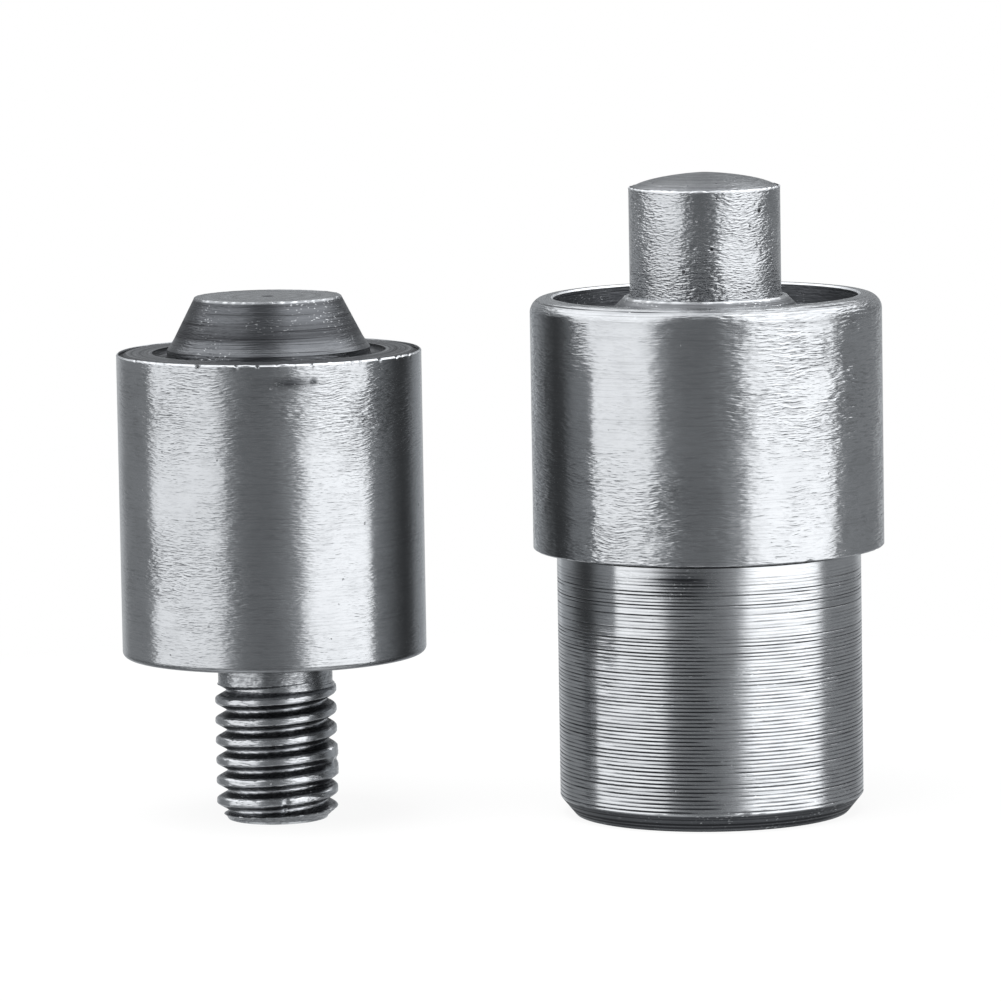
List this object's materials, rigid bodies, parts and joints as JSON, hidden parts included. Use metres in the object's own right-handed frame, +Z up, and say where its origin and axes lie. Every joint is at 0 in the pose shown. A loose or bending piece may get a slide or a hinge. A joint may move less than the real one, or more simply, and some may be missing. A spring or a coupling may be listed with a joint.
{
  "type": "eyelet setting die set",
  "caption": "Eyelet setting dies for a hand lever press: a threaded upper die with a curling cone, and a sleeved lower die with a spring-loaded centre pin.",
  "frame": {"origin": "on the surface that both dies stand on, midway along the pair and on the line of their axes", "axes": "+Z up along both die axes, +X from the upper die's axis to the lower die's axis, +Y away from the viewer of the front"},
  "size_m": [0.0376, 0.0172, 0.0316],
  "materials": {
    "upper_die_steel": "bright turned bar, with fine marks round it",
    "base_steel": "turned with a coarse feed that leaves fine grooves",
    "sleeve_steel": "bright polished tube with short fine marks",
    "pin_steel": "bright drawn bar with a turned crown",
    "ring_steel": "blackened spring wire",
    "washer_steel": "stamped and plain",
    "spring_steel": "oiled music wire",
    "plug_steel": "blackened, turned"
  },
  "bodies": {
    "lower_base": {"anvil_base": "base_steel", "outer_sleeve": "sleeve_steel", "pin_spring": "spring_steel", "screw_plug": "plug_steel"},
    "pin": {"centre_pin": "pin_steel", "pin_snap_ring": "ring_steel", "spring_washer": "washer_steel"},
    "upper": {"upper_die": "upper_die_steel"}
  },
  "joints": [
    {"name": "pin_slide", "type": "slide", "parent": "lower_base", "child": "pin", "axis": [0, 0, 1], "range_m": [-0.0075, 0], "stiffness_N_per_m": 1425, "springref_m": 0.0044, "deforming": ["pin_spring"]},
    {"name": "upper_die_lift", "type": "slide", "parent": "lower_base", "child": "upper", "axis": [0, 0, 1], "range_m": [0, 0.04]}
  ]
}
